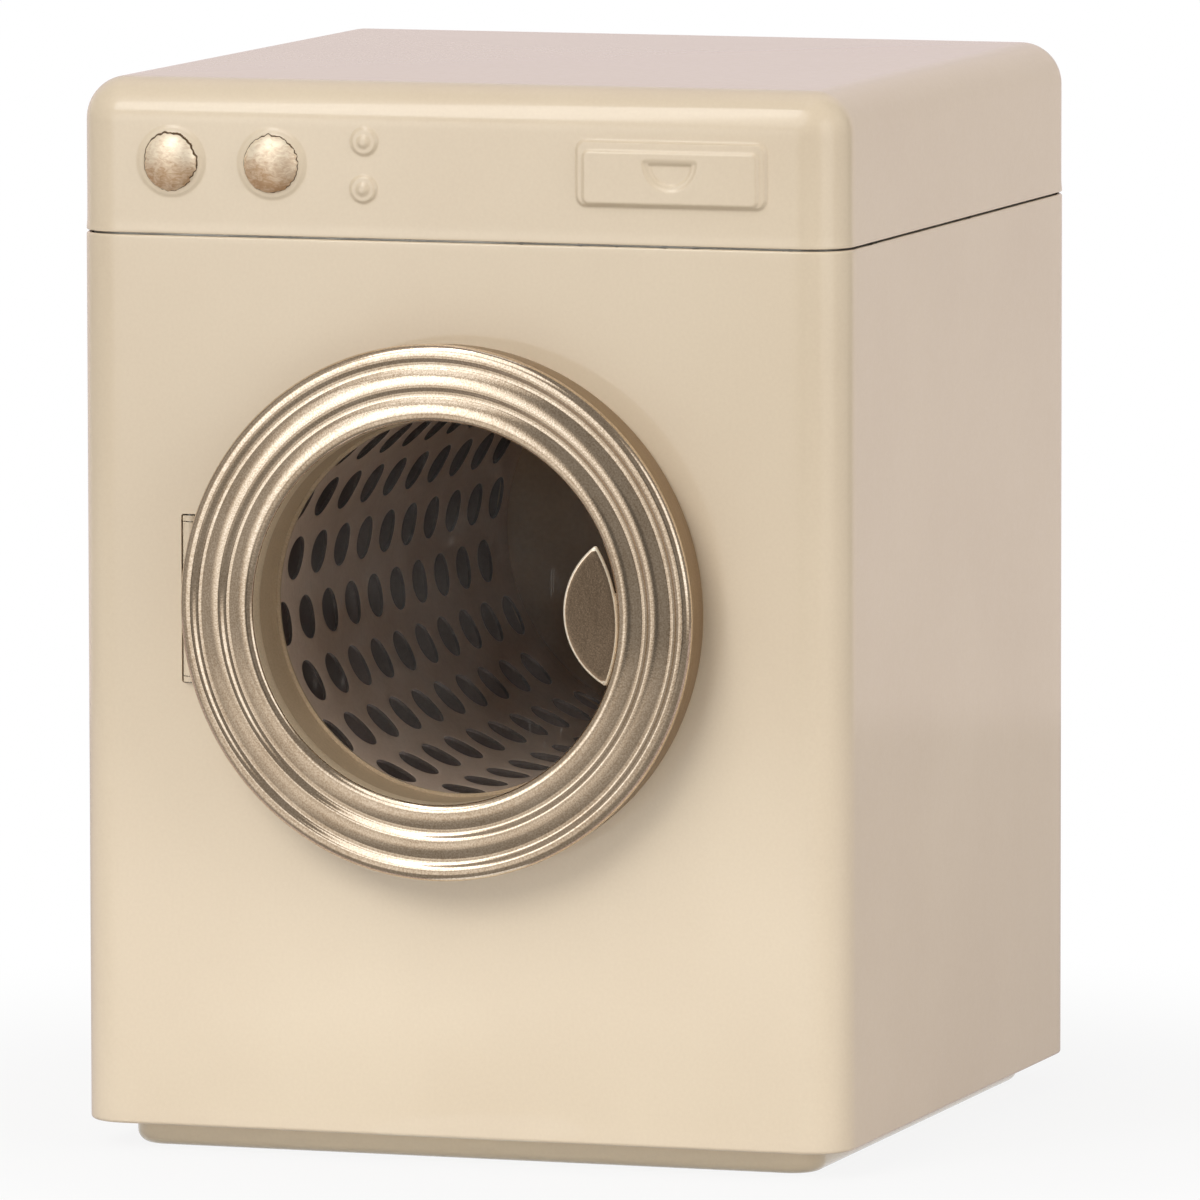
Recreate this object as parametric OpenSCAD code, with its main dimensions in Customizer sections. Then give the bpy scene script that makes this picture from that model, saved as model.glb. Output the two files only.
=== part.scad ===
// Toy washing machine in painted tinplate: a casing on a recessed foot, a lid that
// lifts off, a porthole door on an upright hinge and a perforated drum that turns.
// Origin: centre of the face that it stands on. X right, Y to the back, Z up.

/* [Casing] */
// Width of the casing, left to right
body_w = 90; // [84:0.5:100]
// Depth of the casing, front to back
body_d = 90; // [80:0.5:130]
// Height of the casing wall, from the foot to the lid
wall_h = 100.4; // [92:0.1:140]
// Radius of the upright corners
corner_r = 5; // [3:0.1:8]
// Thickness of the tinplate
sheet = 0.5; // [0.4:0.05:0.6]
// Clearance between sheets that are pressed or welded together
fit = 0.02; // [0.01:0.01:0.05]
// Width of the folded lock seam down the back
lock_w = 5; // [3:0.5:8]
// Distance of the lock seam from the right side
lock_inset = 14; // [10:0.5:20]

/* [Foot] */
// Height of the recessed foot
foot_h = 3; // [2.5:0.1:6]
// How far the foot stands in from the casing wall
foot_inset = 4.3; // [2:0.1:8]
// Radius of the foot's lower edge
foot_round = 1.5; // [1:0.1:2]
// Height of the base pan's rim inside the casing wall
pan_rim_h = 5; // [3:0.5:10]

/* [Lid] */
// Height of the lid
lid_h = 17.4; // [17:0.1:30]
// Dark gap between the casing wall and the lid
seam_gap = 0.2; // [0.1:0.05:0.3]
// Radius of the lid's top edges
lid_round = 4.8; // [2:0.1:5]
// Clearance between the lid and its collar
lid_clear = 0.3; // [0.2:0.05:0.4]
// Height of the collar inside the lid
collar_up = 5; // [3:0.5:8]
// Height of the collar inside the casing wall
collar_down = 6; // [3:0.5:10]

/* [Embossed controls] */
// Height of the middle of the controls above the lid's lower edge
control_up = 8.1; // [7:0.1:9]
// Distance of the first knob from the left side
knob_inset = 11.6; // [10:0.1:14]
// Distance between the two knobs
knob_pitch = 11.9; // [9:0.1:13]
// Radius of a knob's dome
knob_r = 3.2; // [2:0.1:3.6]
// Height of a knob's dome above its plinth
knob_h = 1.2; // [0.6:0.1:1.6]
// Radius of the raised plinth round a knob
plinth_r = 4.2; // [3.9:0.1:4.8]
// Height of the plinths and of the buttons
plinth_h = 0.3; // [0.2:0.05:0.5]
// Distance from the second knob to the two buttons
button_offset = 10.9; // [8:0.1:14]
// Distance between the two buttons
button_pitch = 5.4; // [4.5:0.1:7]
// Radius of a button
button_r = 1.6; // [1:0.1:2]
// Width of the drawer front
drawer_w = 22.3; // [16:0.1:26]
// Height of the drawer front
drawer_h = 7.6; // [6.5:0.1:9]
// Distance of the drawer front from the right side
drawer_inset = 8.6; // [7:0.1:12]
// Radius of the drawer front's corners
drawer_round = 1.4; // [1:0.1:2]
// How far the drawer front stands proud
drawer_proud = 0.5; // [0.4:0.05:0.8]
// Width of the drawer front's sloping edge
drawer_bevel = 0.9; // [0.4:0.1:1.2]
// Width of the half-round pull
pull_w = 5.5; // [3:0.1:7]
// Depth of the pull
pull_deep = 0.35; // [0.2:0.05:0.4]

/* [Door] */
// Height of the door's axis above the foot
axis_up = 59.7; // [56:0.1:70]
// How far the door's axis lies to the right of the middle
door_x = -0.3; // [-2:0.1:2]
// How much less than half the casing's width the radius of the door's ring is
side_gap = 15.05; // [14.5:0.05:17]
// Width of the ring's face, from its edge to the window
ring_w = 8.45; // [8.15:0.05:9.9]
// Radius of the bead round the ring
bead_r = 0.5; // [0.4:0.05:0.6]
// How far the ring's outer ripple stands in front of the casing
ring_proud = 6.85; // [6:0.05:9]
// How much lower the innermost ripple is than the outermost
ring_dish = 0.5; // [0:0.05:1]
// Height of the ripples
ripple_h = 0.7; // [0.4:0.05:0.9]
// Distance between the ripples
ripple_pitch = 3.2; // [2.8:0.05:3.4]
// Width of a ripple's gentle outer slope, in ripples
ripple_fall = 0.58; // [0.5:0.01:0.65]
// Radius of the rounded lip inside the ring
lip_round = 1; // [0.8:0.05:1.2]
// Gap between the door and the casing
door_gap = 0.2; // [0.15:0.05:0.3]
// How far the door's tube reaches behind the casing's front face
tube_back = 2.2; // [1.8:0.1:2.4]
// Thickness of the window
window_t = 0.8; // [0.5:0.1:1]
// Thickness of the wire ring that holds the window
clip_t = 0.4; // [0.3:0.05:0.5]

/* [Finger tab] */
// Height of the lens-shaped tab
tab_h = 15.8; // [12:0.1:18]
// Width of the tab
tab_w = 6.3; // [5:0.1:7]
// Distance from the window to the tab
tab_lift = 4.8; // [4.4:0.1:5]
// Height of the tab's flange on the tube
tab_flange_h = 7; // [4:0.5:9]
// How far that flange reaches towards the window
tab_flange_l = 2; // [1:0.1:3]

/* [Hinge] */
// Distance from the door ring to the hinge axis
hinge_offset = 1.1; // [1.1:0.05:1.6]
// Radius of the hinge pin
pin_r = 0.4; // [0.3:0.05:0.45]
// Clearance between the pin and the door's knuckle
pin_clear = 0.05; // [0.03:0.01:0.08]
// Outer radius of the knuckle
knuckle_r = 0.9; // [0.8:0.05:0.95]
// Length of the door's knuckle
knuckle_l = 17.3; // [12:0.1:20]
// Thickness of the frame's hinge ears
ear_t = 0.6; // [0.5:0.05:0.8]
// Clearance at each end of the knuckle
ear_clear = 0.1; // [0.05:0.05:0.2]
// Clearance between the hinge and the edges of its slot
slot_clear = 0.15; // [0.1:0.05:0.3]
// Width of the leaf that is riveted to the door
leaf_w = 5.15; // [5:0.05:5.3]
// Distance between the leaf's rivets
rivet_pitch = 10; // [7:0.5:13]
// Radius of the rivets
rivet_r = 0.6; // [0.4:0.05:0.7]
// Height of the rivets' heads
rivet_head = 0.4; // [0.3:0.05:0.5]
// Distance of the hinge bracket from the casing's rounded corner
bracket_room = 0.3; // [0.1:0.1:2]

/* [Drum] */
// How much wider the drum's inner radius is than that of the door's tube
drum_step = 1.05; // [0.9:0.05:2]
// Thickness of the drum's perforated sheet
drum_t = 0.45; // [0.3:0.05:0.6]
// Depth of the drum's front edge behind the casing's front face
drum_front = 3.6; // [3.3:0.1:5]
// Space between the drum's back and the casing's back wall
drum_space = 3.4; // [3:0.1:5]
// Radius of the perforations
hole_r = 2.5; // [1.5:0.1:2.8]
// Distance between perforations along the drum
hole_pitch = 7.8; // [7:0.1:9]
// Number of rows of perforations round the drum
hole_rows = 20; // [12:2:20]
// Distance from the drum's front edge to the middle of the first perforation
hole_start = 3.2; // [3.1:0.1:5]
// Angle of the first row, from the right and upwards
hole_turn = 8.4; // [0:0.1:18]
// Thickness of the hem round the drum's mouth
rim_t = 0.35; // [0.2:0.05:0.4]
// Length of the hem's legs on the drum wall
rim_leg = 0.55; // [0.4:0.05:0.6]
// Running clearance between the drum and its guide
guide_clear = 0.3; // [0.2:0.05:0.5]
// Length of the guide's sleeve
guide_l = 4; // [3:0.5:6]
// Width of the guide's flange
guide_flange = 1.3; // [1:0.1:1.6]

/* [Drum bearing] */
// Radius of the drum's shaft
shaft_r = 1.5; // [1:0.1:2]
// Clearance between the shaft and its bush
shaft_clear = 0.05; // [0.03:0.01:0.08]
// Wall of the bush
bush_wall = 0.75; // [0.5:0.05:1]
// Width of the bush's flange
bush_flange_w = 1.1; // [0.8:0.1:1.5]
// Thickness of the bush's flange
bush_flange_t = 0.35; // [0.3:0.05:0.5]
// Width and height of the plate behind the bush
bearing_w = 28; // [16:1:36]
// Radius of that plate's corners
bearing_round = 3; // [1:0.5:6]
// Thickness of that plate
bearing_t = 0.8; // [0.6:0.1:1]
// Radius of the hub on the drum's back
hub_r = 4; // [3:0.1:8]
// End clearance of the drum's shaft
end_clear = 0.3; // [0.2:0.05:0.4]
// Thickness of the nut pressed on the shaft
nut_t = 0.8; // [0.5:0.1:1.2]
// Radius of that nut
nut_r = 3.2; // [3:0.1:5]
// Radius of the shaft's head inside the drum
head_r = 3; // [2.5:0.1:4]
// Height of the shaft's head
head_t = 0.9; // [0.6:0.1:1.5]

/* [Hidden] */

$fn = 96;
cream = [0.87, 0.81, 0.70];
gold = [0.78, 0.69, 0.56];
tin = [0.62, 0.60, 0.57];
steel = [0.70, 0.70, 0.70];
clear = [0.85, 0.90, 0.92, 0.35];
brass = [0.80, 0.66, 0.38];
skin = 0.1;

front_y = -body_d / 2;
back_y = body_d / 2;
seam_z = foot_h + wall_h;
axis_z = foot_h + axis_up;
inner_w = body_w - 2 * sheet;
inner_d = body_d - 2 * sheet;

// Depths along the door's axis are measured from the casing's front face, positive
// to the front, as the ring's heights are.
ring_r = body_w / 2 - side_gap;
tube_r = ring_r - ring_w;
drum_r = tube_r + drum_step;
hem_front = -drum_front + rim_t;
drum_end = -(body_d - sheet - drum_space - sheet);
drum_outer = drum_r + drum_t;
hem_r = drum_outer + rim_t;
guide_r = hem_r + guide_clear;
cap_r = drum_outer + sheet;
wall_in = -(body_d - sheet);

hinge_x = door_x - ring_r - hinge_offset;
hinge_y = front_y - door_gap + sheet;
ear_z = knuckle_l / 2 + ear_clear;
slot_h = 2 * (ear_z + ear_t + slot_clear);
slot_w = knuckle_r + leaf_w + 2 * slot_clear;

// A flat rounded rectangle about the middle.
module rounded_rect(w, d, r) {
    square([w, d - 2 * r], center = true);
    square([w - 2 * r, d], center = true);
    for (x = [-1, 1], y = [-1, 1])
        translate([x * (w / 2 - r), y * (d / 2 - r)]) circle(r);
}

// An upright band of sheet with rounded corners, w by d outside.
module band(w, d, r, t, z, h) {
    translate([0, 0, z]) linear_extrude(h) difference() {
        rounded_rect(w, d, r);
        rounded_rect(w - 2 * t, d - 2 * t, r - t);
    }
}

// Puts children on the front face, their +Z facing out of it and their +Y up.
module on_front(x, z) {
    translate([x, front_y, z]) rotate([90, 0, 0]) children();
}

// The same about the axis that the door and the drum share.
module on_axis() {
    on_front(door_x, axis_z) children();
}

// A ring of rectangular section about that axis, from depth a to depth b.
module ring_band(r_in, r_out, a, b) {
    rotate_extrude() translate([r_in, a]) square([r_out - r_in, b - a]);
}

// A disc with a round hole.
module washer(r, bore, a, b) {
    translate([0, 0, a]) difference() {
        cylinder(h = b - a, r = r);
        translate([0, 0, -skin]) cylinder(h = b - a + 2 * skin, r = bore);
    }
}

module hinge_slot() {
    x_left = hinge_x - knuckle_r - slot_clear;
    on_front(x_left + slot_w / 2, axis_z) translate([0, 0, -2 * sheet])
        linear_extrude(3 * sheet) rounded_rect(slot_w, slot_h, 2 * slot_clear);
}

module body_shell() {
    color(cream) difference() {
        union() {
            band(body_w, body_d, corner_r, sheet, foot_h, wall_h);
            translate([body_w / 2 - lock_inset - lock_w, back_y - skin, foot_h])
                cube([lock_w, sheet + skin, wall_h]);
        }
        on_axis() translate([0, 0, -2 * sheet]) cylinder(h = 3 * sheet, r = guide_r);
        on_axis() translate([0, 0, wall_in - 2 * sheet])
            cylinder(h = 3 * sheet, r = shaft_r + shaft_clear + bush_wall + fit);
        hinge_slot();
    }
}

// One corner of the foot, with its lower edge rounded, as a closed solid.
module foot_corner(r, z, h, edge) {
    translate([0, 0, z]) rotate_extrude($fn = 32) {
        translate([0, edge]) square([r, h - edge]);
        square([r - edge, h]);
        translate([r - edge, edge]) intersection() {
            circle(edge);
            translate([0, -edge]) square([edge, 2 * edge]);
        }
    }
}

module foot_block(inset, z, h, edge) {
    r = corner_r - 2 * sheet - inset;
    hull() for (x = [-1, 1], y = [-1, 1])
        translate([x * (body_w / 2 - foot_inset - inset - r),
                   y * (body_d / 2 - foot_inset - inset - r), 0])
            foot_corner(r, z, h, edge);
}

module base_pan() {
    pan_w = inner_w - 2 * fit;
    pan_d = inner_d - 2 * fit;
    pan_r = corner_r - sheet - fit;
    foot_r = corner_r - 3 * sheet;
    color(cream) {
        difference() {
            union() {
                foot_block(0, 0, foot_h + sheet, foot_round);
                translate([0, 0, foot_h]) linear_extrude(sheet)
                    rounded_rect(pan_w, pan_d, pan_r);
            }
            foot_block(sheet, sheet, foot_h + sheet, foot_round - sheet);
        }
        band(pan_w, pan_d, pan_r, sheet, foot_h, pan_rim_h);
    }
}

module lid_collar() {
    low_w = inner_w - 2 * fit;
    low_d = inner_d - 2 * fit;
    low_r = corner_r - sheet - fit;
    up_w = inner_w - 2 * lid_clear;
    up_d = inner_d - 2 * lid_clear;
    up_r = corner_r - sheet - lid_clear;
    step = lid_clear - fit + sheet;
    color(tin) {
        band(low_w, low_d, low_r, sheet, seam_z - collar_down, collar_down - sheet);
        band(low_w, low_d, low_r, step, seam_z - 2 * sheet, sheet);
        band(up_w, up_d, up_r, sheet, seam_z - sheet - skin, collar_up + sheet + skin);
    }
}

// One corner of the lid, with its upper edge rounded, as a closed solid.
module lid_corner(r, z, h, edge) {
    translate([0, 0, z]) rotate_extrude($fn = 48) {
        square([r, h - edge]);
        square([r - edge, h]);
        translate([r - edge, h - edge]) intersection() {
            circle(edge);
            square(edge);
        }
    }
}

module lid_block(inset, z, h) {
    r = corner_r - inset;
    hull() for (x = [-1, 1], y = [-1, 1])
        translate([x * (body_w / 2 - corner_r), y * (body_d / 2 - corner_r), 0])
            lid_corner(r, z, h, lid_round - inset);
}

// A round plinth with a sloping edge, standing on the lid's front.
module plinth(r) {
    translate([0, 0, -skin]) cylinder(h = skin, r = r);
    cylinder(h = plinth_h, r1 = r, r2 = r - 2 * plinth_h, $fn = 64);
}

// A dome of base radius r and height h, standing on a plinth.
module dome(r, h) {
    ball = (r * r + h * h) / (2 * h);
    translate([0, 0, plinth_h - skin]) rotate_extrude() intersection() {
        translate([0, h + skin - ball]) circle(ball);
        square([r, h + skin]);
    }
}

module drawer_front() {
    x = body_w / 2 - drawer_inset - drawer_w / 2;
    on_front(x, seam_z + seam_gap + control_up) difference() {
        hull() {
            translate([0, 0, -skin]) linear_extrude(skin)
                rounded_rect(drawer_w, drawer_h, drawer_round);
            translate([0, 0, drawer_proud - skin]) linear_extrude(skin)
                rounded_rect(drawer_w - 2 * drawer_bevel, drawer_h - 2 * drawer_bevel,
                             drawer_round / 2);
        }
        translate([0, pull_w / 5, drawer_proud - pull_deep]) linear_extrude(pull_deep + skin)
            intersection() {
                circle(pull_w / 2);
                translate([-pull_w / 2, -pull_w / 2]) square([pull_w, pull_w / 2]);
            }
    }
}

module embossing() {
    z = seam_z + seam_gap + control_up;
    knob_x = -body_w / 2 + knob_inset;
    for (i = [0, 1]) on_front(knob_x + i * knob_pitch, z) {
        plinth(plinth_r);
        dome(knob_r, knob_h);
    }
    for (i = [-1, 1])
        on_front(knob_x + knob_pitch + button_offset, z + i * button_pitch / 2) {
            plinth(button_r);
            dome(button_r * 0.45, plinth_h);
        }
    drawer_front();
}

module top_lid() {
    color(cream) difference() {
        union() {
            lid_block(0, seam_z + seam_gap, lid_h);
            embossing();
        }
        lid_block(sheet, seam_z + seam_gap - skin, lid_h - sheet + skin);
        translate([0, sheet, 0]) embossing();
    }
}

module drum_guide() {
    color(tin) on_axis() {
        ring_band(guide_r, guide_r + sheet, -sheet - guide_l, -sheet - fit);
        ring_band(guide_r, guide_r + guide_flange, -2 * sheet - fit, -sheet - fit);
    }
}

module bearing_plate() {
    color(tin) on_axis() translate([0, 0, wall_in + fit]) linear_extrude(bearing_t)
        difference() {
            rounded_rect(bearing_w, bearing_w, bearing_round);
            circle(shaft_r + shaft_clear + bush_wall + fit);
        }
}

module rear_bush() {
    bore = shaft_r + shaft_clear;
    inside = wall_in + fit + bearing_t;
    color(brass) on_axis() {
        ring_band(bore, bore + bush_wall, wall_in - 2 * sheet, inside + fit);
        ring_band(bore, bore + bush_wall + bush_flange_w, inside + fit,
                  inside + fit + bush_flange_t);
    }
}

module hinge_bracket() {
    ear_in = front_y + sheet + fit;
    plate_x = hinge_x - knuckle_r - 4 * slot_clear;
    bracket_x = -body_w / 2 + corner_r + bracket_room;
    color(cream) {
        translate([bracket_x, ear_in, axis_z - ear_z - ear_t])
            cube([plate_x - bracket_x, sheet, 2 * (ear_z + ear_t)]);
        for (s = [-1, 1]) translate([0, 0, axis_z + s * (ear_z + ear_t / 2) - ear_t / 2])
            linear_extrude(ear_t) difference() {
                union() {
                    translate([hinge_x, hinge_y]) circle(knuckle_r);
                    translate([plate_x - skin, ear_in])
                        square([hinge_x - plate_x + skin, sheet]);
                }
                translate([hinge_x, hinge_y]) circle(pin_r + fit);
            }
    }
}

module hinge_pin() {
    reach = ear_z + ear_t + skin;
    color(steel) translate([hinge_x, hinge_y, axis_z - reach])
        cylinder(h = 2 * reach, r = pin_r);
}

// Puts children on the leaf's back face where its upper (1) or lower (-1) rivet is,
// their +Z facing the front.
module at_rivet(side) {
    translate([hinge_x + leaf_w - 2 * rivet_r - skin, hinge_y, axis_z + side * rivet_pitch / 2])
        rotate([90, 0, 0]) children();
}

module rivet_holes() {
    for (side = [-1, 1]) at_rivet(side) translate([0, 0, -sheet])
        cylinder(h = 4 * sheet, r = rivet_r + fit);
}

module door_leaf() {
    color(cream) difference() {
        union() {
            translate([hinge_x, hinge_y, axis_z - knuckle_l / 2])
                cylinder(h = knuckle_l, r = knuckle_r);
            translate([hinge_x, hinge_y - sheet + fit, axis_z - knuckle_l / 2])
                cube([leaf_w, sheet - fit, knuckle_l]);
        }
        translate([hinge_x, hinge_y, axis_z - knuckle_l])
            cylinder(h = 2 * knuckle_l, r = pin_r + pin_clear);
        rivet_holes();
    }
}

module rivet(side) {
    grip = 2 * sheet;
    color(steel) at_rivet(side) {
        translate([0, 0, -skin]) cylinder(h = grip + 2 * skin, r = rivet_r);
        translate([0, 0, -rivet_head - fit])
            cylinder(h = rivet_head, r1 = rivet_r, r2 = 1.5 * rivet_r);
        translate([0, 0, grip + fit]) cylinder(h = rivet_head, r1 = 1.5 * rivet_r, r2 = rivet_r);
    }
}

module rivet_upper() {
    rivet(1);
}

module rivet_lower() {
    rivet(-1);
}

// The ring's section: the ripples' outer slopes are gentler than their inner ones.
pan_r = ring_r - bead_r + fit;
ring_seat = ring_proud - 2 * bead_r;
lip_r = tube_r - 0.1;
lip_top = ring_proud - ring_dish;
first_ripple = lip_r + lip_round;
last_ripple = first_ripple + 2 * ripple_pitch;
ring_edge = ring_r - bead_r;

function ripple_phase(u) =
    u < ripple_fall ? 180 * u / ripple_fall
                    : 180 + 180 * (u - ripple_fall) / (1 - ripple_fall);
function ring_height(r) =
    let (u = (r - first_ripple) / ripple_pitch)
    lip_top + ring_dish * (r - first_ripple) / (last_ripple - first_ripple)
    - ripple_h / 2 * (1 - cos(ripple_phase(u - floor(u))));
ripple_step = ripple_pitch / 18;
ripple_r = [for (r = [first_ripple : ripple_step : ring_edge]) r];

module ring_section() {
    last = len(ripple_r) - 1;
    top = [for (i = [last : -1 : 0]) [ripple_r[i], ring_height(ripple_r[i])]];
    under = [for (r = ripple_r) [r, ring_height(r) - sheet]];
    polygon(concat(under, top, [[first_ripple - skin, lip_top - sheet / 2]]));
    translate([ring_edge, ring_proud - bead_r]) circle(bead_r);
    lip_low = lip_top - lip_round;
    translate([first_ripple, lip_low]) intersection() {
        difference() {
            circle(lip_round);
            circle(lip_round - sheet);
        }
        translate([-lip_round, 0]) square(lip_round);
    }
    translate([lip_r, lip_low - sheet]) square([sheet, sheet + skin]);
}

module door_ring() {
    color(gold) on_axis() rotate_extrude() ring_section();
}

module door_pan() {
    tube_front = lip_top - lip_round - sheet;
    color(cream) difference() {
        on_axis() {
            ring_band(pan_r - sheet, pan_r, door_gap, ring_seat - fit);
            ring_band(tube_r, pan_r, door_gap, door_gap + sheet);
            ring_band(tube_r, tube_r + sheet, -tube_back, tube_front - fit);
        }
        rivet_holes();
    }
}

window_back = -tube_back + clip_t;

module door_window() {
    color(clear) on_axis() translate([0, 0, window_back + fit])
        cylinder(h = window_t, r = tube_r - fit);
}

module window_clip() {
    color(steel) on_axis() ring_band(tube_r - fit - clip_t, tube_r - fit, -tube_back, window_back);
}

module finger_tab() {
    edge_r = tube_r - fit - sheet;
    tip_x = sqrt(edge_r * edge_r - tab_h * tab_h / 4);
    left_x = edge_r - tab_w;
    bulge = tip_x - left_x;
    arc_r = (tab_h * tab_h / 4 + bulge * bulge) / (2 * bulge);
    low = window_back + fit + window_t + tab_lift;
    color(gold) on_axis() {
        translate([0, 0, low]) linear_extrude(sheet) intersection() {
            circle(edge_r + skin);
            translate([left_x + arc_r, 0]) circle(arc_r);
        }
        translate([0, 0, low - tab_flange_l]) linear_extrude(tab_flange_l + sheet)
            intersection() {
                difference() {
                    circle(edge_r + sheet);
                    circle(edge_r);
                }
                translate([0, -tab_flange_h / 2]) square([tube_r, tab_flange_h]);
            }
    }
}

// The drum hangs on a shaft in the back wall and its mouth runs in the guide.
drum_l = -drum_front - drum_end;
hole_first = -drum_front - hole_start;
hole_room = drum_l - 2 * hole_start - sheet;
hole_count = floor((hole_room - hole_pitch / 2) / hole_pitch) + 1;

module drum_wall() {
    color(tin) on_axis() difference() {
        ring_band(drum_r, drum_outer, drum_end, -drum_front);
        for (row = [0 : hole_rows - 1], i = [0 : hole_count - 1])
            rotate([0, 0, hole_turn + row * 360 / hole_rows])
                translate([drum_r - drum_t, 0, hole_first - (i + (row % 2) / 2) * hole_pitch])
                    rotate([0, 90, 0]) cylinder(h = 3 * drum_t, r = hole_r, $fn = 32);
    }
}

module drum_hem() {
    color(tin) on_axis() rotate_extrude() {
        leg_end = -drum_front - rim_leg;
        translate([drum_r - rim_t, leg_end]) square([rim_t - fit, rim_leg + rim_t]);
        translate([drum_outer + fit, leg_end]) square([rim_t - fit, rim_leg + rim_t]);
        translate([drum_r - rim_t, -drum_front + fit]) square([drum_t + 2 * rim_t, rim_t - fit]);
    }
}

module drum_back() {
    flange = hole_start - hole_r + sheet;
    color(tin) on_axis() {
        washer(cap_r, shaft_r + fit, drum_end - sheet, drum_end - fit);
        ring_band(drum_outer + fit, cap_r, drum_end - sheet, drum_end + flange);
    }
}

hub_back = wall_in + fit + bearing_t + fit + bush_flange_t + end_clear;

module drum_hub() {
    color(tin) on_axis() washer(hub_r, shaft_r + fit, hub_back, drum_end - sheet - fit);
}

module drum_shaft() {
    tail = wall_in - 2 * sheet - end_clear - nut_t - shaft_r / 3;
    color(steel) on_axis() {
        translate([0, 0, tail]) cylinder(h = drum_end + fit - tail, r = shaft_r);
        translate([0, 0, drum_end]) cylinder(h = head_t, r1 = head_r, r2 = head_r * 0.6);
    }
}

module shaft_nut() {
    near = wall_in - 2 * sheet - end_clear;
    color(steel) on_axis() washer(nut_r, shaft_r + fit, near - nut_t, near);
}

body_shell();
base_pan();
lid_collar();
top_lid();
drum_guide();
bearing_plate();
rear_bush();
hinge_bracket();
hinge_pin();
door_leaf();
rivet_upper();
rivet_lower();
door_pan();
door_ring();
door_window();
window_clip();
finger_tab();
drum_wall();
drum_hem();
drum_back();
drum_hub();
drum_shaft();
shaft_nut();
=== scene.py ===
"""Toy washing machine in cream and gold tinplate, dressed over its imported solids."""
import math

import bmesh
import bpy
import numpy as np
from mathutils import Matrix, Vector


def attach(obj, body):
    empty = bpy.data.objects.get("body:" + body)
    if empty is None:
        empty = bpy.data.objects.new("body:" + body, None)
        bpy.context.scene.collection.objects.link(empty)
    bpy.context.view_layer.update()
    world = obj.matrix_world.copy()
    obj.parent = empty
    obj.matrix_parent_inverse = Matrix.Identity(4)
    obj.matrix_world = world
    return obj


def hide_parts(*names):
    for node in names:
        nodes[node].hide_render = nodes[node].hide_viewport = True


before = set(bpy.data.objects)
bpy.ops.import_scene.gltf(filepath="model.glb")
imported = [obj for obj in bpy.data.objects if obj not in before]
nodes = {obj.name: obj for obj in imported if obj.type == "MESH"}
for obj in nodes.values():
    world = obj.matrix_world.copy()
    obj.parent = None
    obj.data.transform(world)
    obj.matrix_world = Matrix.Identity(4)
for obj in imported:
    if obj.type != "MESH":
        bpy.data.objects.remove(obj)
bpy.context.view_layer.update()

MM = 0.001
AX, AZ = -0.3, 62.7          # axis of the door and the drum
FRONT = -45.0                # the casing's front face
HALF, CORNER, SHEET = 45.0, 5.0, 0.5
FOOT_H, SEAM = 3.0, 103.4
LID_LOW, LID_TOP, LID_ROUND = 103.6, 121.0, 4.8


# Meshes

def solid(name, verts, faces, weld=1e-7):
    """A plain closed object from millimetres: doubles are welded, faces turned outwards."""
    me = bpy.data.meshes.new(name)
    me.from_pydata((np.asarray(verts, float) * MM).tolist(), [], faces)
    bm = bmesh.new()
    bm.from_mesh(me)
    bmesh.ops.remove_doubles(bm, verts=bm.verts, dist=weld)
    bmesh.ops.dissolve_degenerate(bm, edges=bm.edges, dist=1e-8)
    bmesh.ops.recalc_face_normals(bm, faces=bm.faces)
    bm.to_mesh(me)
    bm.free()
    ob = bpy.data.objects.new(name, me)
    bpy.context.scene.collection.objects.link(ob)
    return ob


def shade(ob, angle=32):
    """Smooth shading, apart from edges sharper than angle."""
    ob.data.polygons.foreach_set("use_smooth", [True] * len(ob.data.polygons))
    ob.data.set_sharp_from_angle(angle=math.radians(angle))


def build(name, verts, faces, body, replaced=(), slot=None, angle=32):
    """A smooth piece from millimetres, riding on a body."""
    ob = solid(name, verts, faces, 2e-7)
    shade(ob, angle)
    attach(ob, body)
    if replaced:
        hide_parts(*replaced)
    return ob


def grid(count, rows, ring=True):
    """Quads between rows of count vertices each."""
    faces = []
    for i in range(rows - 1):
        low, high = i * count, (i + 1) * count
        for j in range(count if ring else count - 1):
            k = (j + 1) % count
            faces.append((low + j, low + k, high + k, high + j))
    return faces


def lathe_points(profile, seg, start=0.0, sweep=360.0):
    """Rings about the door's axis: r and the height in front of the casing's face."""
    p = np.asarray(profile, float)
    n = seg if sweep == 360.0 else seg + 1
    t = np.radians(start + sweep * np.arange(n) / seg)
    x = AX + np.outer(p[:, 0], np.cos(t))
    z = AZ + np.outer(p[:, 0], np.sin(t))
    y = np.repeat((FRONT - p[:, 1])[:, None], n, 1)
    return np.stack([x, y, z], -1).reshape(-1, 3), n


def lathe(name, profile, seg, body, **kw):
    """A closed profile turned about the door's axis."""
    profile = list(profile)
    verts, n = lathe_points(profile + profile[:1], seg)
    return build(name, verts, grid(n, len(profile) + 1), body, **kw)


def arc(cx, cy, r, a0, a1, n):
    """n points of a circle's arc from the angle a0 to a1, in degrees."""
    t = np.radians(np.linspace(a0, a1, n))
    return [(cx + r * math.cos(v), cy + r * math.sin(v)) for v in t]


def quarter(n):
    """Angles from 0 to 90 degrees in n steps."""
    return [math.radians(90 * t / n) for t in range(n + 1)]


def smooth(t):
    """0 below 0, 1 above 1, and a soft step between."""
    t = np.clip(t, 0.0, 1.0)
    return t * t * (3 - 2 * t)


SIDE, BEND = 12, 14          # steps along a loop's straight edge and round its corner
SEAM_SHARES = np.linspace(0.08, 0.20, 25)        # more points of the back edge, at the lock seam
EDGE = np.array([0.0, 0.012] + [i / SIDE for i in range(1, SIDE)] + [0.988, 1.0])


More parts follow.
